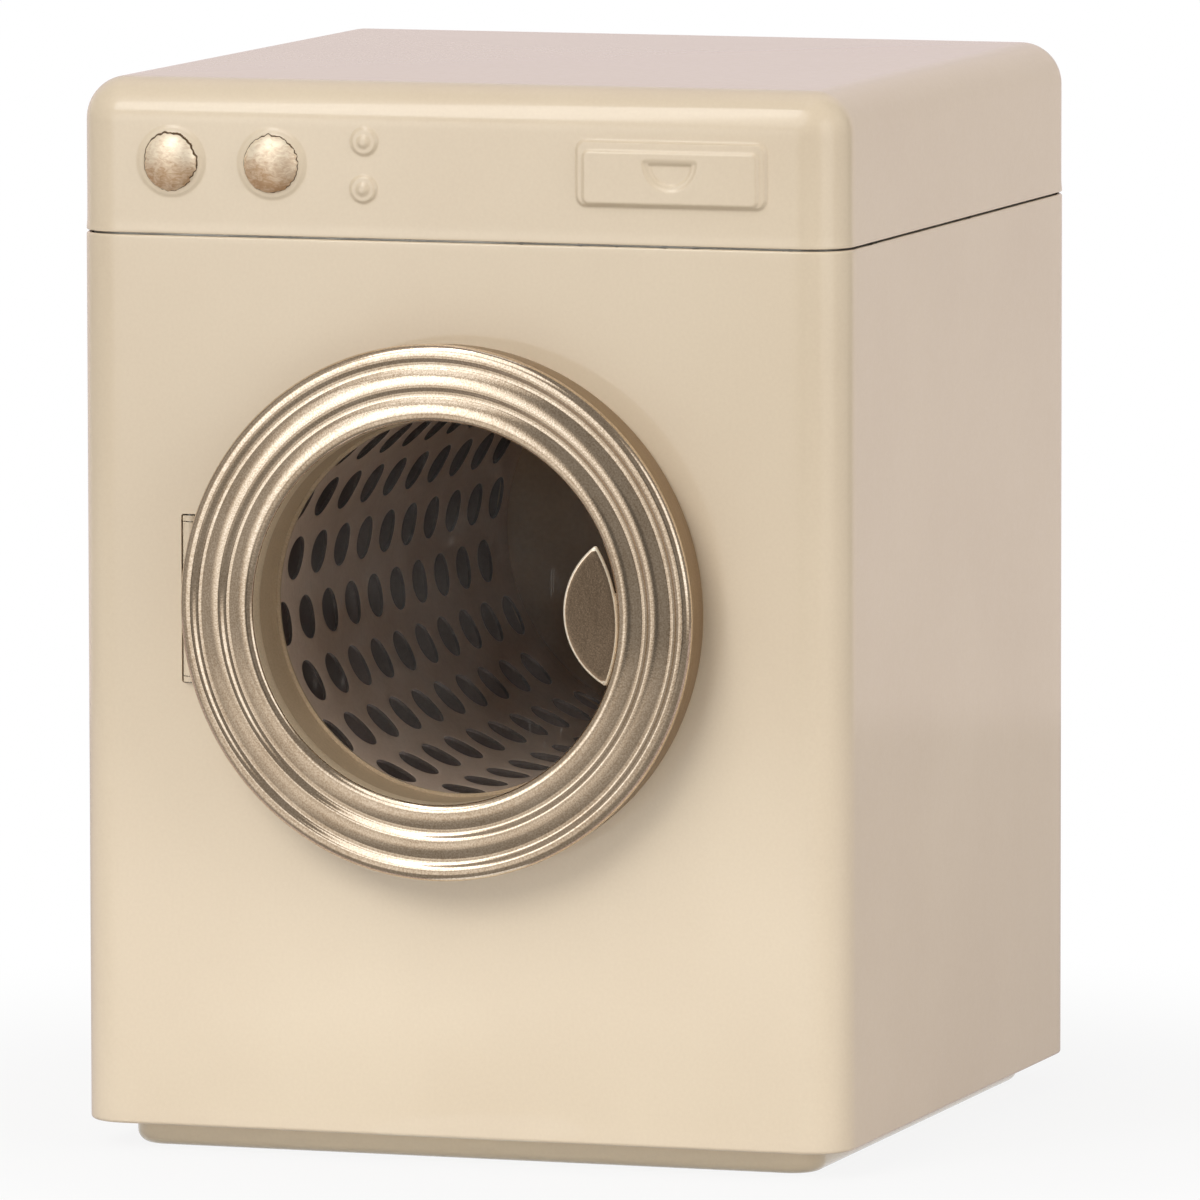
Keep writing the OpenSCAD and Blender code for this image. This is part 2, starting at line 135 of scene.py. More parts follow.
def plan(hx, hy, r, xs=None, bump=None):
    """A rounded rectangle, counterclockwise from the front left: points and normals.

    xs gives the places of the front edge's points as shares of its length, and
    bump(x) lifts the back edge outwards."""
    pts, nor = [], []

    def line(p, q, n, shares):
        for s in shares:
            pts.append((p[0] + (q[0] - p[0]) * s, p[1] + (q[1] - p[1]) * s))
            nor.append(n)

    def bend(cx, cy, a0):
        for i in range(1, BEND):
            t = math.radians(a0 + 90 * i / BEND)
            pts.append((cx + r * math.cos(t), cy + r * math.sin(t)))
            nor.append((math.cos(t), math.sin(t)))

    line((-hx + r, -hy), (hx - r, -hy), (0, -1), np.linspace(0, 1, SIDE + 1) if xs is None else xs)
    bend(hx - r, -hy + r, -90)
    line((hx, -hy + r), (hx, hy - r), (1, 0), EDGE)
    bend(hx - r, hy - r, 0)
    back = np.unique(np.concatenate([EDGE, SEAM_SHARES]))
    line((hx - r, hy), (-hx + r, hy), (0, 1), back)
    if bump:
        for k in range(len(pts) - len(back), len(pts)):
            pts[k] = (pts[k][0], pts[k][1] + bump(pts[k][0]))
    bend(-hx + r, hy - r, 90)
    line((-hx, hy - r), (-hx, -hy + r), (-1, 0), EDGE)
    bend(-hx + r, -hy + r, 180)
    return np.array(pts), np.array(nor)


def row(loop, inset, z, scale=1.0):
    """A loop's points at a height, moved inwards by inset and then scaled."""
    p, n = loop
    q = (p - n * inset) * scale
    return np.column_stack([q, np.full(len(q), z)])


def rows_mesh(rows, close_top=False):
    """Rows of one count joined by quads; close_top ends the last row in a fan."""
    n = len(rows[0])
    verts = np.concatenate(rows)
    faces = grid(n, len(rows))
    if close_top:
        verts = np.vstack([verts, rows[-1].mean(0)])
        base, top = (len(rows) - 1) * n, len(verts) - 1
        faces += [(base + j, base + (j + 1) % n, top) for j in range(n)]
    return verts, faces


def cut(ob, tool):
    """Cuts tool out of ob and removes it."""
    mod = ob.modifiers.new("cut", "BOOLEAN")
    mod.operation, mod.solver, mod.object = "DIFFERENCE", "EXACT", tool
    bpy.context.view_layer.update()
    done = bpy.data.meshes.new_from_object(
        ob.evaluated_get(bpy.context.evaluated_depsgraph_get()))
    ob.modifiers.remove(mod)
    old, ob.data = ob.data, done
    done.name = old.name
    bpy.data.meshes.remove(old)
    bpy.data.objects.remove(tool)


# Casing wall: bottom edge curled in, top edge rounded, lock seam down the back

SEAM_X, SEAM_HALF, SEAM_PROUD = 28.5, 2.55, 0.5  # the lock seam's middle, half width and rise


def lock_seam(x):
    """How far the seam stands out of the back."""
    return SEAM_PROUD * float(smooth((SEAM_HALF - abs(x - SEAM_X)) / 0.25))


CURL, LIP = 0.42, 0.3        # radii of the wall's bottom and top edges
OPENING_R, BUSH_R = 23.65, 2.32
INSIDE_ROW = 100.0           # height of the row of points in the middle of the inside
wall_loop = plan(HALF, HALF, CORNER, EDGE, lock_seam)
inner_loop = plan(HALF, HALF, CORNER, EDGE)
rows = [row(inner_loop, SHEET, INSIDE_ROW), row(inner_loop, SHEET, FOOT_H + 0.4)]
for a in quarter(8):
    rows.append(row(wall_loop, CURL * (1 - math.sin(a)), FOOT_H + CURL * (1 - math.cos(a))))
for z in (4.2, 8, 14, 26, 40, 55, 70, 84, 94, 100, 102.6):
    rows.append(row(wall_loop, 0, z))
for a in quarter(6):
    rows.append(row(wall_loop, LIP * (1 - math.cos(a)), SEAM - LIP + LIP * math.sin(a)))
rows.append(row(inner_loop, SHEET, SEAM - 0.05))
rows.append(rows[0])
casing = build("casing_wall", *rows_mesh(rows), "case", ["body_shell"], "cream_paint")

cyl, n = lathe_points([(OPENING_R, -1.2), (OPENING_R, 0.6)], 160)
cyl = np.vstack([cyl, [[AX, FRONT + 1.2, AZ], [AX, FRONT - 0.6, AZ]]])
faces = grid(n, 2) + [(j, (j + 1) % n, 2 * n) for j in range(n)] \
    + [(n + j, n + (j + 1) % n, 2 * n + 1) for j in range(n)]
cut(casing, solid("opening_tool", cyl, faces))
x0, x1, zh, r = -32.4, -26.05, 9.5, 0.3        # the hinge's slot
outline = []
for cx, cz, a0 in ((x1 - r, -zh + r, -90), (x1 - r, zh - r, 0),
                   (x0 + r, zh - r, 90), (x0 + r, -zh + r, 180)):
    outline += arc(cx, AZ + cz, r, a0, a0 + 90, 7)
n = len(outline)
slot = [(x, y, z) for y in (FRONT - 0.6, FRONT + 1.2) for x, z in outline]
cut(casing, solid("slot_tool", slot, grid(n, 2) + [tuple(range(n)), tuple(range(n, 2 * n))]))
hole, n = lathe_points([(BUSH_R, -91.5), (BUSH_R, -89.0)], 48)
cut(casing, solid("bush_tool", hole, grid(n, 2) + [tuple(range(n)), tuple(range(n, 2 * n))]))
shade(casing)


# Base pan with the recessed foot

FOOT_HALF, FOOT_ROUND = 40.7, 1.5      # the foot's half width and its lower edge's radius
big = plan(44.48, 44.48, 4.48)
foot = plan(FOOT_HALF, FOOT_HALF, 4.0)
tray = plan(FOOT_HALF - SHEET, FOOT_HALF - SHEET, 3.5)
rows = [row(big, 0.5, 7.9), row(big, 0.35, 8.0), row(big, 0.12, 8.0), row(big, 0, 7.88),
        row(big, 0, 3.3), row(big, 0.09, 3.09), row(big, 0.3, FOOT_H), row(foot, -0.5, FOOT_H),
        row(foot, -0.35, 2.96), row(foot, -0.12, 2.85), row(foot, 0, 2.6), row(foot, 0, 1.6)]
for a in quarter(8):
    rows.append(row(foot, FOOT_ROUND * (1 - math.cos(a)), FOOT_ROUND * (1 - math.sin(a))))
rows += [row(foot, 2.0, 0), row(foot, 2.4, 0)]
rows += [row(foot, 2.7, 0.05, 0.995), row(foot, 2.7, 0.25, 0.985), row(foot, 2.7, 0.3, 0.97),
         row(foot, 2.7, 0.3, 0.5), row(foot, 2.7, 0.3, 0.05)]
verts, faces = rows_mesh(rows, True)
inner = [rows[0], row(big, 0.5, 3.5), row(tray, -0.2, 3.5), row(tray, 0, 3.3), row(tray, 0, 1.6)]
for a in quarter(6)[1:]:
    inner.append(row(tray, 1.0 * (1 - math.cos(a)), 0.6 + 1.0 * (1 - math.sin(a))))
inner += [row(tray, 1.0, 0.8, 0.9), row(tray, 1.0, 0.8, 0.4), row(tray, 1.0, 0.8, 0.05)]
v2, f2 = rows_mesh(inner, True)
faces = faces + [tuple(i + len(verts) for i in f) for f in f2]
base = build("base_tray", np.vstack([verts, v2]), faces, "case", ["base_pan"], "cream_paint")


# Lid with its pressed controls

LID_IN = 0.08                # the lid's wall stands this far inside its flared edge
LID_FLARE = 105.4            # the flare ends at this height
KNOBS = ((-33.4, 111.75), (-21.5, 111.7))
PLINTH_R, PLINTH_H = 4.12, 0.19
DOME_R, DOME_H, DOME_BALL = 3.3, 1.25, 4.9       # a knob's dome, and the radius of its ball
BUTTONS = ((-10.6, 114.4), (-10.7, 109.1))
BUTTON_R, BUTTON_H, NIPPLE_R, NIPPLE_H = 1.68, 0.30, 0.9, 0.28
DRAWER = (25.25, 111.5, 11.15, 3.8)    # the middle, half the width and half the height
DRAWER_H, PANEL_H = 0.36, 0.30         # the drawer's rise, and its raised panel's beyond it
PULL = (25.25, 112.8)                  # the middle of the half round hollow of the pull
HOLLOW_R, HOLLOW_DEEP, PIT_R, PIT_DEEP = 3.25, 0.19, 2.62, 0.24


def box_distance(x, z, cx, cz, hx, hz, r):
    """Distance to a rounded rectangle's edge, negative inside."""
    qx, qz = np.abs(x - cx) - hx + r, np.abs(z - cz) - hz + r
    return np.hypot(np.maximum(qx, 0), np.maximum(qz, 0)) + np.minimum(np.maximum(qx, qz), 0) - r


def pressed(x, z):
    """How far the lid's front stands out at a place, in millimetres."""
    h = np.zeros_like(x)
    for cx, cz in KNOBS:
        p = np.hypot(x - cx, z - cz)
        plinth = PLINTH_H * smooth((PLINTH_R - p) / 0.48)
        cap = np.sqrt(np.maximum(DOME_BALL ** 2 - p ** 2, 0)) - (DOME_BALL - DOME_H)
        flat = DOME_H * np.maximum(1 - (p / DOME_R) ** 2.6, 0) ** 0.62
        dome = np.where(p < DOME_R, 0.5 * (np.maximum(cap, 0) + flat), 0)
        foot = 0.06 * smooth((3.6 - p) / 0.5)
        h += plinth + np.maximum(dome, foot)
    for cx, cz in BUTTONS:
        p = np.hypot(x - cx, z - cz)
        h += BUTTON_H * smooth((BUTTON_R - p) / 0.42) + NIPPLE_H * smooth((NIPPLE_R - p) / 0.6)
    cx, cz, hx, hz = DRAWER
    d = box_distance(x, z, cx, cz, hx, hz, 1.3)
    h += DRAWER_H * smooth(-d / 0.4)
    d = box_distance(x, z, cx, cz - 0.42, hx - 0.95, hz - 0.78, 0.8)
    h += PANEL_H * smooth((0.12 - d) / 0.4)
    px, pz = PULL
    p = np.hypot(x - px, z - pz)
    h -= HOLLOW_DEEP * smooth((HOLLOW_R - p) / 0.45) * smooth((pz + 0.45 - z) / 0.6)
    h -= PIT_DEEP * smooth((PIT_R - p) / 0.27) * smooth((pz + 0.02 - z) / 0.36)
    return h


# Places along the lid's front edge, close together across the controls
fine = [np.linspace(-40, -38, 6), np.arange(-38, -16.9, 0.17), np.arange(-16.9, -13, 0.6),
        np.arange(-13, -8.4, 0.13), np.arange(-8.4, 13.4, 1.1), np.arange(13.4, 37.2, 0.13),
        np.linspace(37.2, 40, 8)]
fine = np.unique(np.concatenate(fine).round(4))
xs = (fine + HALF - CORNER) / (2 * (HALF - CORNER))
lid_loop = plan(HALF, HALF, CORNER, xs)
front_n = len(xs)


def flare(z):
    """How far the lid's wall stands in at a height, less and less towards its lower edge."""
    return LID_IN * (1 - float(smooth((LID_FLARE - z) / 1.7)) ** 2)


rows = [row(lid_loop, 0.3, LID_LOW), row(lid_loop, 0.12, LID_LOW + 0.02),
        row(lid_loop, 0.02, LID_LOW + 0.08), row(lid_loop, flare(LID_LOW + 0.2), LID_LOW + 0.2)]
for z in np.arange(LID_LOW + 0.4, LID_FLARE, 0.22):
    rows.append(row(lid_loop, flare(z), z))
for z in np.arange(105.5, 116.0, 0.135):
    r = row(lid_loop, LID_IN, z)
    r[:front_n, 1] -= pressed(r[:front_n, 0], r[:front_n, 2])
    rows.append(r)
crown = 0.12                 # the lid's top rises so far to its middle
for a in quarter(18):
    rows.append(row(lid_loop, LID_IN + (LID_ROUND - LID_IN) * (1 - math.cos(a)),
                    LID_TOP - crown - LID_ROUND + LID_ROUND * math.sin(a)))
for s in (0.992, 0.97, 0.9, 0.8, 0.65, 0.5, 0.3, 0.12):
    rows.append(row(lid_loop, LID_ROUND, LID_TOP - crown + crown * (1 - s ** 2), s))
verts, faces = rows_mesh(rows, True)
inner = [row(inner_loop, 0.42, LID_LOW), row(inner_loop, SHEET, LID_LOW + 0.08)]
ceiling, bend = LID_TOP - SHEET - crown, LID_ROUND - SHEET
for a in quarter(8):
    inner.append(row(inner_loop, SHEET + bend * (1 - math.cos(a)),
                     ceiling - bend + bend * math.sin(a)))
for s in (0.97, 0.6, 0.2):
    inner.append(row(inner_loop, LID_ROUND, ceiling, s))
v2, f2 = rows_mesh(inner, True)
off = len(verts)
faces += [tuple(i + off for i in f) for f in f2]
# The lower edge joins the outside's many points to the inside's few
dense_n, coarse_n = len(rows[0]), len(inner[0])
picks = [int(np.argmin(abs(xs - c))) for c in EDGE] + list(range(front_n, dense_n))
for j in range(coarse_n):
    k = (j + 1) % coarse_n
    a, b = picks[j], picks[k]
    if b <= a:
        b += dense_n
    faces.append(tuple([i % dense_n for i in range(a, b + 1)] + [off + k, off + j]))
lid = build("lid_cover", np.vstack([verts, v2]), faces, "lid", ["top_lid"], "cream_paint", 40)


# Gold paint on the two knobs, with the ragged, darkened outline that a brush leaves

def knob_paint(name, centre, seed, shape, rim):
    """The paint's skin over a knob, and the radius at which its dark rim begins.

    shape lists waves of the outline: size, number round the knob and place."""
    cx, cz = centre
    rng = np.random.default_rng(seed)
    n, rings = 160, 24
    t = np.linspace(0, 2 * math.pi, n, endpoint=False)
    radius = np.full(n, 3.24)
    for amp, freq, phase in shape:
        radius += amp * np.cos(freq * (t - phase))
    for k in range(9, 30):
        radius += rng.normal(0, 0.010) * np.cos(k * t + rng.uniform(0, 6.28))
    edge = rim * (0.55 + 0.45 * np.sin(t)) + 0.03
    for k in range(5, 24):
        edge += rng.normal(0, 0.006) * np.cos(k * t + rng.uniform(0, 6.28))
    edge = np.maximum(edge, 0.025)
    share = list(np.linspace(0.02, 1, rings) ** 0.8)
    top, under = [], []
    for s in share + [None]:
        rad = s * (radius - edge) if s is not None else radius
        x, z = cx + rad * np.cos(t), cz + rad * np.sin(t)
        h = pressed(x, z) - LID_IN
        thick = 0.055 * math.sqrt(1 - (s or 1) ** 12) + (0.030 if s is not None else 0.008)
        top.append(np.column_stack([x, FRONT - h - thick, z]))
        under.append(np.column_stack([x, FRONT - h + 0.08, z]))
    rows = top + under[::-1]
    verts = np.concatenate(rows)
    faces = grid(n, len(rows))
    verts = np.vstack([verts, rows[0].mean(0), rows[-1].mean(0)])
    faces += [(j, (j + 1) % n, len(verts) - 2) for j in range(n)]
    b = (len(rows) - 1) * n
    faces += [(b + j, b + (j + 1) % n, len(verts) - 1) for j in range(n)]
    return build(name, verts, faces, "lid", slot="gold_paint", angle=50), radius - edge


knob_a, bound_a = knob_paint("knob_paint_left", KNOBS[0], 3,
                             [(0.10, 2, 1.6), (0.06, 3, 0.05), (0.05, 5, -0.1), (0.03, 7, 0.9)],
                             0.20)
knob_b, bound_b = knob_paint("knob_paint_right", KNOBS[1], 8,
                             [(0.03, 2, 1.2), (0.025, 3, 1.9), (0.02, 5, 0.4)], 0.10)


# Door: ribbed ring, pan with its tube, window, finger tab

CRESTS = (22.3, 25.57, 28.83)          # radii
VALLEYS = (24.32, 27.58)
CREST_H, STEP = 6.849, 0.01            # height of the outer crest, and the step across the face
# The slope from a crest to its valley: shares of the way, and the slope there
FALL = ((0.0, 0.03, 0.13, 0.47, 0.64, 0.84, 0.90, 0.94),
        (0.0, 0.0, -0.054, -0.2235, -0.242, -0.31, -0.27, 0.0))


def slope(r):
    """The ring's face falls gently outwards from each crest and climbs steeply to the next."""
    for crest, valley, after in zip(CRESTS, VALLEYS, CRESTS[1:]):
        if crest <= r < valley:
            return float(np.interp((r - crest) / (valley - crest), *FALL))
        if valley <= r < after:
            return 0.8 * math.sin(math.pi * (r - valley) / (after - valley)) ** 3
    return 0.0


face, height = [], 0.0
for r in np.arange(CRESTS[0], CRESTS[-1] + 3 * STEP, STEP):
    face.append((float(r), height))
    height += STEP * slope(r + STEP / 2)
face = [(r, h + CREST_H - height) for r, h in face]
low = face[0][1]
top = [(21.83, 4.9), (21.49, 4.86), (21.49, 4.06), (21.47, 4.02), (21.43, 4.0), (21.39, 4.03),
       (21.38, 4.08), (21.38, 4.9)]
top += [(22.33 - 0.95 * math.sin(v), low - 0.62 + 0.62 * math.cos(v))
        for v in np.radians(np.linspace(90, 5, 20))] + face[::6]
top += [(29.0 + 0.95 * math.sin(v), 5.999 + 0.85 * math.cos(v))
        for v in np.radians(np.linspace(0, 92, 24))]
top += arc(29.45, 5.97, 0.5, -8, -80, 8)
under = [(29.2, 5.72), (28.8, 6.1)]
under += [(r, h - 0.45) for r, h in reversed(face[:-40:24])]
under += [(22.33 - 0.5 * math.sin(v), low - 0.95 + 0.5 * math.cos(v))
          for v in np.radians(np.linspace(5, 90, 8))]
ring = lathe("door_trim_ring", top + under, 320, "door",
             replaced=["door_ring"], slot="gold_paint", angle=60)

pan = [(21.5, 4.83), (21.5, 3.75), (21.5, -2.12), (21.58, -2.2), (21.92, -2.2), (22.0, -2.12),
       (22.0, 0.12), (22.08, 0.2)] + arc(28.85, 0.85, 0.65, 270, 360, 10)
pan += [(29.5, 5.36), (29.42, 5.42), (29.08, 5.42), (29.0, 5.34)] + arc(28.7, 1.0, 0.3, 360, 270, 7)
pan += [(22.2, 0.7), (22.06, 0.76), (22.0, 0.9), (22.0, 4.75), (21.9, 4.83)]
pan = lathe("door_back_pan", pan, 256, "door", replaced=["door_pan"], slot="cream_paint")

disc = [(0.0, -0.98)] + [(r, -0.98) for r in (6, 12, 18, 21.3)] + arc(21.36, -1.1, 0.12, 90, 0, 5) \
    + arc(21.36, -1.66, 0.12, 0, -90, 5) + [(r, -1.78) for r in (18, 12, 6)] + [(0.0, -1.78)]
window = lathe("window_pane", disc, 128, "door", replaced=["door_window"], slot="clear_window")


TIP_HIGH, TIP_LOW = np.array([18.14, 8.0]), np.array([19.3, -7.75])      # the tab's two tips
SAG_RIGHT, SAG_LEFT = 1.93, 4.40       # how far its sides stand out from the line between them
TAB_ROOT, TAB_LEAN = 20.7, 0.095       # it leans outwards from this radius


def bow(p, q, sag, shrink, n):
    """Points of the arc from p to q that stands out by sag to the left of the way."""
    half = np.linalg.norm(q - p) / 2
    r = (half ** 2 + sag ** 2) / (2 * sag)
    along = (q - p) / (2 * half)
    out = np.array([-along[1], along[0]])
    centre = (p + q) / 2 + out * (sag - r)
    r -= shrink
    reach = math.asin(min(1.0, (half - 1.9 * shrink - 0.16) / r))
    return [centre + r * (along * math.sin(v) + out * math.cos(v))
            for v in np.linspace(-reach, reach, n)]


def lens(shrink):
    """The tab's outline from its upper tip down the right side and back up the left."""
    return bow(TIP_HIGH, TIP_LOW, SAG_RIGHT, shrink, 45) \
        + bow(TIP_LOW, TIP_HIGH, SAG_LEFT, shrink, 61)


rows = []
for s, d in ((0.10, 3.82), (0.0, 3.92), (0.0, 4.06), (0.03, 4.15), (0.09, 4.23), (0.17, 4.285),
             (0.26, 4.315), (0.34, 4.32), (0.7, 4.32)):
    rows.append(np.array([(AX + x + 0.03 * (TAB_ROOT - x), FRONT - d - TAB_LEAN * (TAB_ROOT - x),
                           AZ + z) for x, z in lens(s)]))
n = len(rows[0])
verts = np.concatenate(rows)
faces = grid(n, len(rows)) + [tuple(range(n))] + [tuple(range((len(rows) - 1) * n, len(rows) * n))]
flange = [(21.0, 1.9), (21.08, 1.82), (21.38, 1.82), (21.46, 1.9), (21.46, 3.6)] \
    + arc(20.96, 3.62, 0.5, 5, 85, 6) + [(20.6, 4.14), (20.5, 4.0), (20.6, 3.9)] \
    + arc(20.9, 3.76, 0.12, 80, 10, 4)
fv, fn = lathe_points(flange + flange[:1], 16, -11.5, 19)
ff = grid(fn, len(flange) + 1, ring=False)
ff.append(tuple(i * fn for i in range(len(flange))))
ff.append(tuple(i * fn + fn - 1 for i in range(len(flange))))
faces += [tuple(i + len(verts) for i in f) for f in ff]
tab = build("finger_tab_plate", np.vstack([verts, fv]), faces, "door",
            ["finger_tab"], "gold_paint")


# Drum: every perforation is punched in its own cell of the sheet

DRUM_IN, DRUM_MID, DRUM_OUT = 22.55, 22.8, 23.0
DRUM_FRONT, DRUM_END = 3.6, 85.6       # depths of its edges behind the casing's face
ROWS, HOLES, PITCH = 20, 10, 7.8       # rows round the drum, holes in each and their distance
FIRST_HOLE, FIRST_ROW = 6.8, 8.4       # its depth, and the first row's angle
HOLE_IN, HOLE_OUT = 2.52, 2.62
CELL = 8                               # quads along each side of a hole's cell


def drum_sheet():
    step = PITCH / CELL
    lines = [DRUM_FRONT]
    lines += [FIRST_HOLE - PITCH / 2 + step * j for j in range(1, CELL * HOLES + 5)]
    lines.append(DRUM_END)
    quads, verts = [], []

    def put(theta, y, r):
        verts.append((AX + r * math.cos(theta), FRONT + y, AZ + r * math.sin(theta)))
        return len(verts) - 1

    def patch(points):
        quads.append(tuple([put(t, y, DRUM_IN) for t, y in points]))
        quads.append(tuple(reversed([put(t, y, DRUM_OUT) for t, y in points])))

    for k in range(ROWS):
        mid, half = math.radians(FIRST_ROW + 360 / ROWS * k), math.radians(180 / ROWS)
        cols = [mid - half + 2 * half * i / CELL for i in range(CELL + 1)]
        start = CELL // 2 * (k % 2)
        for j in list(range(start)) + list(range(start + HOLES * CELL, len(lines) - 1)):
            for i in range(CELL):
                patch([(cols[i], lines[j]), (cols[i + 1], lines[j]),
                       (cols[i + 1], lines[j + 1]), (cols[i], lines[j + 1])])
        for c in range(HOLES):
            j0 = start + CELL * c
            yc = FIRST_HOLE + PITCH * (c + 0.5 * (k % 2))
            edge = [(cols[i], lines[j0]) for i in range(CELL)] \
                + [(cols[CELL], lines[j0 + i]) for i in range(CELL)] \
                + [(cols[CELL - i], lines[j0 + CELL]) for i in range(CELL)] \
                + [(cols[0], lines[j0 + CELL - i]) for i in range(CELL)]
            n = len(edge)
            inside, outside = [
                [(mid + math.asin(rad * math.cos(a) / DRUM_MID), yc + rad * math.sin(a))
                 for a in np.radians(225 + 360 * np.arange(n) / n)] for rad in (HOLE_IN, HOLE_OUT)]
            levels = [(0.0, 0.0), (0.62, 0.0), (0.93, 0.01), (1.0, 0.06)]
            loops = []
            for way, circle, r, depth in ((levels, inside, DRUM_IN, 1.0),
                                          (levels[::-1], outside, DRUM_OUT, 0.4)):
                for s, sink in way:
                    loops.append([put(e[0] * (1 - s) + q[0] * s, e[1] * (1 - s) + q[1] * s,
                                      r + sink * depth) for e, q in zip(edge, circle)])
            for p, q in zip(loops, loops[1:]):
                quads.extend((p[i], p[(i + 1) % n], q[(i + 1) % n], q[i]) for i in range(n))
        for y in (lines[0], lines[-1]):
            for i in range(CELL):
                quads.append((put(cols[i], y, DRUM_IN), put(cols[i + 1], y, DRUM_IN),
                              put(cols[i + 1], y, DRUM_OUT), put(cols[i], y, DRUM_OUT)))
    return verts, quads


drum = build("drum_sheet", *drum_sheet(), "drum", ["drum_wall"], "drum_paint", 40)


# Materials

def srgb(r, g, b):
    """A linear colour from a screen colour in steps of 0 to 255."""
    def lin(c):
        c /= 255
        return c / 12.92 if c <= 0.04045 else ((c + 0.055) / 1.055) ** 2.4
    return (lin(r), lin(g), lin(b), 1.0)


def add_node(nt, kind, inputs=(), **settings):
    """A new shader node's outputs. inputs go by place in a tuple, or by name or place in a
    dict: one that is a socket is linked, any other is set."""
    n = nt.nodes.new("ShaderNode" + kind)
    for key, value in settings.items():
        setattr(n, key, value)
    for i, value in inputs.items() if isinstance(inputs, dict) else enumerate(inputs):
        if isinstance(value, bpy.types.NodeSocket):
            nt.links.new(value, n.inputs[i])
        else:
            n.inputs[i].default_value = value
    return n.outputs


def empty_nodes(owner):
    """The cleared node tree of a material or a world."""
    owner.use_nodes = True
    owner.node_tree.nodes.clear()
    return owner.node_tree


class Paint:
    """A node tree round one Principled shader, in object space."""

    def __init__(self, name, **sockets):
        self.mat = bpy.data.materials.new(name)
        self.nt = empty_nodes(self.mat)
        self.bsdf = self.nt.nodes.new("ShaderNodeBsdfPrincipled")
        self.add("OutputMaterial", (self.bsdf.outputs[0],))
        self.co = self.add("TexCoord")["Object"]
        for key, value in sockets.items():
            self.bsdf.inputs[key.replace("_", " ")].default_value = value

    def add(self, kind, inputs=(), **settings):
        return add_node(self.nt, kind, inputs, **settings)

    def set(self, socket, value):
        self.nt.links.new(value, self.bsdf.inputs[socket])

    def math(self, op, a, b=0.0, c=0.0, clamp=False):
        return self.add("Math", (a, b, c), operation=op, use_clamp=clamp)[0]

    def total(self, *terms):
        """The sum of sockets, each times its weight."""
        out = None
        for value, weight in terms:
            part = self.math("MULTIPLY", value, weight)
            out = part if out is None else self.math("ADD", out, part)
        return out

    def noise(self, scale, detail=3.0, rough=0.5, vector=None, distortion=0.0):
        return self.add("TexNoise", {"Vector": vector or self.co, "Scale": scale, "Detail": detail,
                                     "Roughness": rough, "Distortion": distortion})[0]

    def stretch(self, sx, sy, sz, rot=(0, 0, 0)):
        return self.add("Mapping", {"Vector": self.co, "Rotation": rot, "Scale": (sx, sy, sz)})[0]

    def remap(self, v, a0, a1, b0=0.0, b1=1.0):
        return self.add("MapRange", (v, a0, a1, b0, b1))[0]

    def mix(self, fac, a, b):
        return self.add("Mix", {0: fac, 6: a, 7: b}, data_type="RGBA")[2]

    def xyz(self):
        return self.add("SeparateXYZ", (self.co,))

    def bump(self, height, distance, strength=1.0, normal=None):
        inputs = {"Height": height, "Distance": distance, "Strength": strength}
        if normal:
            inputs["Normal"] = normal
        return self.add("Bump", inputs)[0]

    def polar(self):
        """Radius from the door's axis, the angle about it, and the depth."""
        x, y, z = self.xyz()
        dx, dz = self.math("SUBTRACT", x, AX * MM), self.math("SUBTRACT", z, AZ * MM)
        square = self.math("ADD", self.math("MULTIPLY", dx, dx), self.math("MULTIPLY", dz, dz))
        return self.math("SQRT", square), self.math("ARCTAN2", dz, dx), y


def enamel(name, light, dark, chips=None):
    """Glossy paint. chips gives two heights at which it is worn off to the bare sheet."""
    p = Paint(name, Coat_Weight=1.0, Coat_Roughness=0.07, Coat_IOR=1.48, Specular_IOR_Level=0.2)
    broad = p.remap(p.noise(38, 2.0), 0.35, 0.65)
    speck = p.remap(p.noise(2600, 2.0), 0.3, 0.7)
    colour = p.mix(p.total((broad, 0.6), (speck, 0.4)), light, dark)
    if chips:
        low, high = chips
        z = p.xyz()[2]
        near = p.math("MAXIMUM", p.remap(z, low * MM, (low + 0.45) * MM, 1, 0),
                      p.remap(z, (high - 0.45) * MM, high * MM))
        # Chips worn off along the given edges: real wear of the paint.
        wear_and_painted_highlight = p.math("GREATER_THAN", p.math("MULTIPLY", near, p.noise(420, 4.0, 0.62)), 0.60)
        colour = p.mix(wear_and_painted_highlight, colour, srgb(104, 92, 74))
    p.set("Base Color", colour)
    p.set("Roughness", p.remap(p.noise(900, 3.0), 0.3, 0.7, 0.41, 0.52))
    dent = p.bump(p.noise(26, 1.0), 0.00055, 0.5)
    p.set("Normal", p.bump(p.noise(1500, 2.0), 0.000012, 0.55, dent))
    return p.mat


def gold_ring(name, light, dark, rough, metallic=1.0, grain=0.7):
    """Gold lacquer with a fine grain that runs round the door."""
    p = Paint(name, Metallic=metallic)
    r, a, y = p.polar()
    fine, along = 5200, 5.5
    way = p.add("CombineXYZ", (p.math("MULTIPLY", r, fine), p.math("MULTIPLY", a, along),
                               p.math("MULTIPLY", y, fine)))
    streak = p.noise(1.0, 4.0, 0.6, way[0])
    flake = p.noise(fine, 1.0)
    cloud = p.noise(160, 3.0)
    tone = p.total((p.remap(cloud, 0.3, 0.7), 0.2), (p.remap(flake, 0.3, 0.7), 0.55),
                   (p.remap(streak, 0.3, 0.7), 0.25))
    p.set("Base Color", p.mix(tone, light, dark))
    p.set("Roughness", p.remap(streak, 0.3, 0.7, rough - 0.02, rough + 0.04))
    soft = p.bump(cloud, 0.00002, 0.4)
    p.set("Normal", p.bump(p.total((streak, 0.3), (flake, 1.0)), 0.0000055, grain, soft))
    return p.mat


